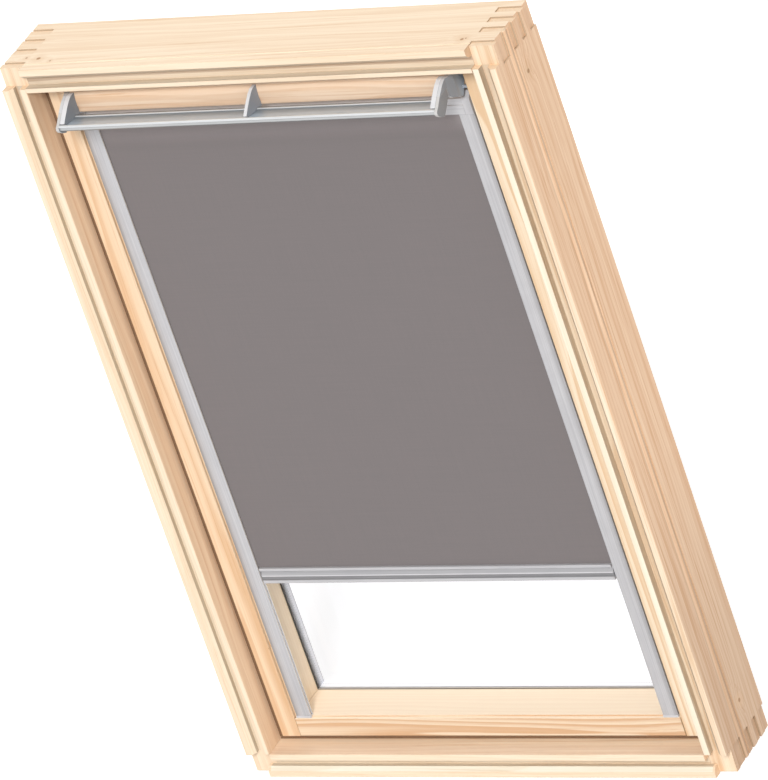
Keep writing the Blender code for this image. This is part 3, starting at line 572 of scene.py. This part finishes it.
def clear_glass(name):
    """Pane that shows what is behind it, faintly green at its cut edges."""
    g = Graph(name)
    where = g.where()
    film = g.noise(where, 3.0, 3.0)
    side = g.split(g.facing())[1]
    edge = g.spread(g.size(side), 0.5, 0.9, 1.0, 0.0)
    colour = g.mix(edge, (0.97, 0.985, 0.98, 1.0), srgb("#6FA08C"))
    thin = g.node("ShaderNodeBsdfTransparent", {"Color": (0.992, 0.992, 0.995, 1.0)}).outputs[0]
    smooth = g.spread(film, 0.3, 0.7, 0.01, 0.03)
    gloss = g.node("ShaderNodeBsdfGlossy", {"Color": (1, 1, 1, 1), "Roughness": smooth})
    front = g.minus(1.0, g.node("ShaderNodeNewGeometry").outputs["Backfacing"])
    fresnel = g.times(front, g.node("ShaderNodeFresnel", {"IOR": 1.45}).outputs[0])
    pane = g.node("ShaderNodeMixShader", {0: fresnel, 1: thin, 2: gloss.outputs[0]}).outputs[0]
    g.finish(colour, 0.1)
    both = g.node("ShaderNodeMixShader", {0: edge, 1: pane, 2: g.shader.outputs[0]}).outputs[0]
    g.tree.links.new(both, g.output.inputs["Surface"])
    return g.material


def dress(node, material):
    """Give a CAD node its material."""
    mesh = NODES[node].data
    mesh.materials.clear()
    mesh.materials.append(material)


CREAM, CREAM_DARK = srgb("#FDE9CE"), srgb("#E2BC94")
PEACH, PEACH_DARK = srgb("#F4DABB"), srgb("#DEB58B")
# Painted light for the sash stiles' sides towards the glass.
REVEAL_LIGHT = srgb("#FDEBD0")
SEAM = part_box("sash_bottom_rail")[1][0]

# The tuple after each frame member's knots is painted shade on its groove slope where it is below one and
# painted light where it is above; corner sets the head's painted shadow line, and inner_lip the painted
# highlight on the right stile's inner lip.
dress("frame_head", pine("pine_head", 0, (0.09, 1.060), CREAM, CREAM_DARK,
      [((-0.3357, -0.0315, HIGH), 0.0042), ((-0.3568, -0.0285, HIGH), 0.0024),
       ((-0.3129, -0.0393, HIGH), 0.0020), ((0.3348, -0.0337, HIGH), 0.0036),
       ((0.3398, -0.0316, HIGH), 0.0020)], (0.70, 0.71, 0.73),
      corner=0.0230))
dress("frame_sill", pine("pine_sill", 0, (0.05, -0.070), CREAM, CREAM_DARK, (), (1.0, 1.18, 1.35)))
dress("frame_stile_left", pine("pine_left", 2, (-0.50, 0.060), CREAM, CREAM_DARK, (), (1.0, 1.04, 1.06)))
dress("frame_stile_right", pine("pine_right", 2, (0.470, 0.110), CREAM, CREAM_DARK,
      [((WIDE, 0.0103, 1.0997), 0.0042), ((WIDE, 0.0108, 0.0802), 0.0042)], (0.72, 0.74, 0.76), 1.7,
      inner_lip=0.60))
SASH_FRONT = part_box("sash_stile_left")[0][1]
dress("sash_stile_left", pine("pine_sash_left", 2, (-0.30, 0.070), PEACH, PEACH_DARK,
      [((-0.3139, SASH_FRONT, 0.1974), 0.0010)], rough=1.25, rings=0.50, reveal_light=REVEAL_LIGHT))
dress("sash_stile_right", pine("pine_sash_right", 2, (0.36, 0.080), srgb("#FDEED6"), srgb("#E6C49C"),
      rough=1.25, rings=0.55, reveal_light=REVEAL_LIGHT))
# The rail's faces that look up fade to cream as painted light.
dress("sash_bottom_rail", pine("pine_sash_bottom", 0, (-0.085, 0.034), srgb("#F4E0C5"), srgb("#DBB28B"),
      rough=1.4, upper=CREAM, rings=0.60, seam=SEAM))
dress("sash_top_rail", pine("pine_sash_top", 0, (0.05, 1.20), PEACH, PEACH_DARK))
dress("ventilation_flap", pine("pine_flap", 0, (-0.10, 1.070), srgb("#F7DEC4"), srgb("#E0B791"),
      rough=1.2, rings=0.30))

SILVER, SILVER_DARK = srgb("#C9C8CA"), srgb("#B4B3B6")
# Painted light inside the side channels and on their inner side walls, and painted shade on their rolled
# outer edges.
for node in ("side_channel_left", "side_channel_right"):
    dress(node, metal(f"anodised_{node}", SILVER, SILVER_DARK, 0.42, 2, 0.35, channel_shading=True))
dress("blind_cassette", metal("anodised_cassette", SILVER, SILVER_DARK, 0.42, 0, 0.35))
BAR_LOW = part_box("bottom_bar")[0][2]
# Painted shade in the bottom bar's recesses and a painted highlight on its bead, by height above its foot.
BAR_FOLD_SHADING = [(BAR_LOW + low, BAR_LOW + high, tone) for low, high, tone in (
    (0.0055, 0.0112, 0.5), (0.0112, 0.0130, 1.25), (0.0130, 0.0208, 0.8))]
dress("bottom_bar", metal("anodised_bar", SILVER, SILVER_DARK, 0.42, 0, 0.35, fold_shading=BAR_FOLD_SHADING))
# Painted shade, shadow, highlight and reflection in the handle's dish.
dress("control_bar", metal("anodised_handle", srgb("#DADCDD"), srgb("#C6C8C9"), 0.36, 0, 0.45,
      dish=(0.0026, -0.018, 0.42)))
ZINC, ZINC_DARK = srgb("#B9BBBD"), srgb("#8F9295")
# Painted shade on the sides of the bar caps.
CAP_SIDE_SHADE = (0.46, 0.50, 0.55)
SEAL_BROWN = srgb("#7C6149")
for side in ("left", "right"):
    # Painted shade towards the outer ends of the cassette ends.
    dress(f"cassette_end_{side}", plastic(f"pale_{side}", srgb("#C9C8CB"), srgb("#BEBDC0"),
          fade=(0.2975, 0.3100)))
    dress(f"channel_foot_{side}", plastic(f"foot_{side}", srgb("#D4D4D8"), srgb("#C4C4C9")))
    dress(f"bar_glide_{side}", plastic(f"glide_{side}", srgb("#A9A8AB"), srgb("#8F8E92")))
    # Painted shade on the sides of the flap ends, paler towards the back as painted light.
    dress(f"flap_end_{side}", plastic(f"flap_end_grey_{side}", srgb("#D6D7D9"), srgb("#C6C7C9"),
          flank_shade=(0.50, 0.54, 0.59), recess=True))
    dress(f"bar_cap_{side}", plastic(f"cap_grey_{side}", srgb("#D2D0CE"), srgb("#C6C4C2"), flank_shade=CAP_SIDE_SHADE))
    dress(f"sash_pivot_{side}", metal(f"zinc_disc_{side}", ZINC, ZINC_DARK, 0.3, 2, 0.95))
    dress(f"pivot_plate_{side}", metal(f"zinc_plate_{side}", ZINC, ZINC_DARK, 0.3, 2, 0.95))
    dress(f"seal_lower_{side}", rubber(f"seal_lower_{side}", SEAL_BROWN))
    dress(f"seal_upper_{side}", rubber(f"seal_upper_{side}", SEAL_BROWN))
# Painted shade on the sides of the three brackets, darkest on the left.
BRACKET_SIDE_SHADES = {"left": (0.30, 0.34, 0.38), "middle": (0.38, 0.42, 0.47), "right": (0.44, 0.48, 0.53)}
for place, tint in BRACKET_SIDE_SHADES.items():
    dress(f"bar_bracket_{place}", plastic(f"bracket_grey_{place}", srgb("#E4E4E6"), srgb("#D8D8DA"),
          flank_shade=tint))
for node in ("striker_plate", "lock_case", "lock_bolt", "spring_motor"):
    dress(node, metal(f"zinc_{node}", ZINC, ZINC_DARK, 0.3, 0, 0.95))
for node in ("seal_head", "seal_sill"):
    dress(node, rubber(node, SEAL_BROWN))
# Painted light on the gasket's faces that look up.
dress("glazing_gasket", rubber("glazing_gasket", srgb("#3C3935"), upper=srgb("#B9B2A8")))
for place, along in (("top", 0), ("bottom", 0), ("left", 2), ("right", 2)):
    dress(f"cover_profile_{place}", metal(f"lacquered_{place}", srgb("#55585A"), srgb("#484A4C"), 0.45,
          along, 0.35))
for node in ("inner_pane", "outer_pane"):
    dress(node, clear_glass(node))
dress("glass_spacer", spacer_bar("spacer"))
dress("air_filter", foam("filter_foam", srgb("#3B3B3C"), srgb("#222223")))
dress("roller_tube", wound("wound_cloth"))


def add(name, body, shape, look, smooth_below=None):
    """Make a bmesh a piece that rides on a body, and give it a material."""
    bmesh.ops.recalc_face_normals(shape, faces=shape.faces)
    mesh = bpy.data.meshes.new(name)
    shape.to_mesh(mesh)
    shape.free()
    if smooth_below:
        mesh.shade_smooth()
        mesh.set_sharp_from_angle(angle=math.radians(smooth_below))
    made = bpy.data.objects.new(name, mesh)
    bpy.context.scene.collection.objects.link(made)
    mesh.materials.append(look)
    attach(made, body)
    return made


def hung_cloth(half_width, low, high, depth, thickness):
    """Closed sheet between two heights, with hardly visible waves down its length."""
    across, down = 28, 60
    shape = bmesh.new()
    grid = {}
    for side in (0, 1):
        for i in range(across + 1):
            for j in range(down + 1):
                x = half_width * (2 * i / across - 1)
                z = low + (high - low) * j / down
                free = math.sin(math.pi * j / down) * math.cos(math.pi * x / half_width / 2)
                wave = 0.00010 * free * math.sin(x * 21 + 1.3) + 0.00006 * free * math.sin(x * 47)
                y = FACE + depth + wave + (thickness if side else 0)
                grid[side, i, j] = shape.verts.new((x, y, z))
    for side in (0, 1):
        for i in range(across):
            for j in range(down):
                around = ((i, j), (i + 1, j), (i + 1, j + 1), (i, j + 1))
                shape.faces.new([grid[side, a, b] for a, b in around])
    rim = [(i, 0) for i in range(across)] + [(across, j) for j in range(down)]
    rim += [(across - i, down) for i in range(across)] + [(0, down - j) for j in range(down)]
    for a, b in zip(rim, rim[1:] + rim[:1]):
        shape.faces.new([grid[0, *a], grid[0, *b], grid[1, *b], grid[1, *a]])
    return shape


def screw_head(at, out, radius, turn):
    """Domed head with a cross recess, standing on a face at a point and looking along out."""
    out = Vector(out).normalized()
    side = out.orthogonal().normalized()
    other = out.cross(side)
    count = 32
    angles = [2 * math.pi * k / count for k in range(count)]
    quarter = math.pi / 2
    arms = [0.58 if min(a % quarter, quarter - a % quarter) < 0.22 else 0.22 for a in angles]
    shape = bmesh.new()

    def ring(radii, heights):
        points = []
        for a, r, h in zip(angles, radii, heights):
            flat = side * math.cos(a + turn) + other * math.sin(a + turn)
            points.append(shape.verts.new(Vector(at) + flat * r * radius + out * h * radius))
        return points

    def dome(r):
        return 0.14 + 0.30 * (1 - r * r)

    rings = [
        ring([r * 0.85 for r in arms], [0.08] * count), ring(arms, [dome(r) for r in arms]),
        ring([0.74] * count, [dome(0.74)] * count), ring([0.92] * count, [dome(0.92)] * count),
        ring([1.0] * count, [0.10] * count), ring([1.0] * count, [-0.05] * count),
    ]
    for low, high in zip(rings, rings[1:]):
        for k in range(count):
            n = (k + 1) % count
            shape.faces.new([low[k], low[n], high[n], high[k]])
    shape.faces.new(list(reversed(rings[0])))
    shape.faces.new(rings[-1])
    return shape


def rim(outer, low, high, width, front, back, soft):
    """Rectangular ring with softened edges; outer is its half width and width that of its sides."""
    section = [(0, front + soft), (soft, front), (width - soft, front), (width, front + soft),
               (width, back - soft), (width - soft, back), (soft, back), (0, back - soft)]
    shape = bmesh.new()
    corners = []
    for sign_x, z, sign_z in ((-1, low, 1), (1, low, 1), (1, high, -1), (-1, high, -1)):
        points = [(sign_x * (outer - w), FACE + d, z + sign_z * w) for w, d in section]
        corners.append([shape.verts.new(point) for point in points])
    for k in range(4):
        here, there = corners[k], corners[(k + 1) % 4]
        for j in range(8):
            n = (j + 1) % 8
            shape.faces.new([here[j], there[j], there[n], here[n]])
    return shape


def seal_strip(node):
    """Weather strip in the place of a plain one: a flat foot with a half-round bulb towards the sash."""
    low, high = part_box(node)
    along = 0 if high[0] - low[0] > high[2] - low[2] else 2
    proud = 2 - along
    inward = -1 if low[proud] + high[proud] > (0.0, 0.0, HIGH)[proud] else 1
    base, tip = (high[proud], low[proud]) if inward < 0 else (low[proud], high[proud])
    rise, foot = abs(tip - base), 0.0011
    front, back = low[1], high[1]
    middle, half = (front + back) / 2, (back - front) * 0.36
    section = [(0.0, front), (foot, front), (foot, middle - half - 0.0006)]
    for k in range(11):
        turned = math.pi * k / 10
        section.append((foot + (rise - foot) * math.sin(turned), middle - half * math.cos(turned)))
    section += [(foot, middle + half + 0.0006), (foot, back), (0.0, back)]
    shape = bmesh.new()
    rings = []
    for end in (low[along], high[along]):
        ring = []
        for out, y in section:
            point = [0.0, y, 0.0]
            point[along] = end
            point[proud] = base + inward * out
            ring.append(shape.verts.new(point))
        rings.append(ring)
    count = len(section)
    for j in range(count):
        n = (j + 1) % count
        shape.faces.new([rings[0][j], rings[0][n], rings[1][n], rings[1][j]])
    shape.faces.new(rings[0])
    shape.faces.new(list(reversed(rings[1])))
    return shape


SEALS = ("seal_head", "seal_sill", "seal_lower_left", "seal_upper_left", "seal_lower_right",
         "seal_upper_right")
for node in SEALS:
    look = rubber(f"{node}_rubber", SEAL_BROWN)
    strip = add(f"{node}_bulb", "frame", seal_strip(node), look, 35)
    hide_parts(node)

# Screws
SCREW = metal("screw_zinc", srgb("#C6C8CA"), srgb("#A3A6A9"), 0.28, 0, 0.9)
COVER_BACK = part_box("cover_profile_left")[1][1]


def screw(name, body, at, out, radius, turn):
    add(name, body, screw_head(at, out, radius, turn), SCREW, 30)


for side, sign in (("left", -1), ("right", 1)):
    for k, z in enumerate(COVER_SCREWS_UP):
        screw(f"cover_screw_{side}_{k}", "sash", (sign * COVER_SCREWS_OUT, COVER_BACK, z), (0, 1, 0),
              COVER_SCREW, 0.3 + k)
    for k, z in enumerate(PLATE_SCREWS_UP):
        screw(f"plate_screw_{side}_{k}", "frame", (sign * PLATE_SCREWS_OUT, PLATE_SCREWS_DEEP, z),
              (-sign, 0, 0), PLATE_SCREW, 0.9 * k)
for k, x in enumerate((-RAIL_SCREWS_OUT, RAIL_SCREWS_OUT)):
    screw(f"top_cover_screw_{k}", "sash", (x, COVER_BACK, TOP_SCREWS_UP), (0, 1, 0), COVER_SCREW, 0.5 * k)
    screw(f"foot_cover_screw_{k}", "sash", (x, COVER_BACK, FOOT_SCREWS_UP), (0, 1, 0), COVER_SCREW, 1.1 * k)
STRIKER_LOW, LOCK_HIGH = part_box("striker_plate")[0][2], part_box("lock_case")[1][2]
for k, x in enumerate((-0.0265, 0.0265)):
    screw(f"striker_screw_{k}", "frame", (x, LATCH_SCREWS_DEEP, STRIKER_LOW), (0, 0, -1), 0.0022, 0.4 + k)
for k, x in enumerate((-0.036, 0.036)):
    screw(f"lock_screw_{k}", "sash", (x, LATCH_SCREWS_DEEP, LOCK_HIGH), (0, 0, 1), 0.0020, 0.7 + k)

# Black sealant round the edge of the glass unit, and the rubber lip between the outside covers and the glass
SPACER_BOX, PANE_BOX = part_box("glass_spacer"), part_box("inner_pane")
add("edge_sealant", "sash",
    rim(PANE_BOX[1][0] - 0.0002, PANE_BOX[0][2] + 0.0002, PANE_BOX[1][2] - 0.0002, 0.0032,
        SPACER_BOX[0][1] - FACE, SPACER_BOX[1][1] - FACE, 0.0004),
    rubber("sealant", srgb("#232323"), 0.5))
add("glass_lip_seal", "sash", rim(0.3206, 0.0648, 1.0617, 0.0022, 0.1325, 0.1340, 0.0004),
    rubber("lip_rubber", srgb("#1F1F20"), 0.5))

# Cloth of the blind: the front layer goes with the bar, and the layer behind it hangs from the roller
CLOTH_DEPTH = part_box("blackout_fabric")[0][1] - FACE - 0.0001
CLOTH = cloth("blackout_cloth", srgb("#7C7474"), srgb("#767070"))
for name, body, half, depth, thickness, anchor in (
    ("cloth_on_bar", "blind_bar", 0.2965, CLOTH_DEPTH, 0.0004, CLOTH_LOW),
    ("cloth_from_roller", "sash", 0.2960, CLOTH_DEPTH + 0.0006, 0.0003, CLOTH_TOP),
):
    shape = hung_cloth(half, CLOTH_LOW, CLOTH_TOP, depth, thickness)
    sheet = add(name, body, shape, CLOTH, 40)
    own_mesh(sheet)
    if body == "blind_bar":
        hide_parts("blackout_fabric")


# Floor and light
def stage_material():
    """White to the camera, in mirrors and through glass, and it still shows a soft shadow."""
    g = Graph("stage")
    path = g.node("ShaderNodeLightPath")
    seen = g.larger(path.outputs["Is Camera Ray"], path.outputs["Is Glossy Ray"])
    seen = g.larger(seen, path.outputs["Is Transmission Ray"])
    matt = g.node("ShaderNodeBsdfDiffuse", {"Color": (0.80, 0.80, 0.80, 1)}).outputs[0]
    glow = g.node("ShaderNodeEmission", {"Color": (1, 1, 1, 1), "Strength": g.times(seen, 0.55)})
    total = g.node("ShaderNodeAddShader", {0: matt, 1: glow.outputs[0]}).outputs[0]
    g.tree.links.new(total, g.output.inputs["Surface"])
    return g.material


mesh = bpy.data.meshes.new("floor")
FLOOR_HALF, FLOOR_LEVEL = 30, -0.0006
around = ((-1, -1), (1, -1), (1, 1), (-1, 1))
floor_corners = [(x * FLOOR_HALF, y * FLOOR_HALF, FLOOR_LEVEL) for x, y in around]
mesh.from_pydata(floor_corners, [], [(0, 1, 2, 3)])
floor = bpy.data.objects.new("floor", mesh)
bpy.context.scene.collection.objects.link(floor)
mesh.materials.append(stage_material())

world = bpy.data.worlds.new("studio")
bpy.context.scene.world = world
world.use_nodes = True
tree = world.node_tree
sky = tree.nodes["Background"]
path = tree.nodes.new("ShaderNodeLightPath")
first = tree.nodes.new("ShaderNodeMath")
first.operation = "MAXIMUM"
second = tree.nodes.new("ShaderNodeMath")
second.operation = "MAXIMUM"
tree.links.new(path.outputs["Is Camera Ray"], first.inputs[0])
tree.links.new(path.outputs["Is Glossy Ray"], first.inputs[1])
tree.links.new(first.outputs[0], second.inputs[0])
tree.links.new(path.outputs["Is Transmission Ray"], second.inputs[1])
level = tree.nodes.new("ShaderNodeMapRange")
tree.links.new(second.outputs[0], level.inputs[0])
level.inputs[3].default_value = 0.34
level.inputs[4].default_value = 1.0
tree.links.new(level.outputs[0], sky.inputs["Strength"])
sky.inputs["Color"].default_value = (1, 1, 1, 1)


def sun(name, towards, strength, angle):
    lamp = bpy.data.lights.new(name, "SUN")
    lamp.energy = strength
    lamp.angle = math.radians(angle)
    made = bpy.data.objects.new(name, lamp)
    bpy.context.scene.collection.objects.link(made)
    made.rotation_euler = Vector(towards).to_track_quat("Z", "Y").to_euler()


sun("key", (0.30, -0.75, 0.60), 2.25, 18)
sun("sky", (0.05, 0.45, 0.90), 0.85, 30)
sun("fill", (0.90, -0.35, 0.25), 0.35, 60)

bpy.context.scene.view_settings.view_transform = "Standard"
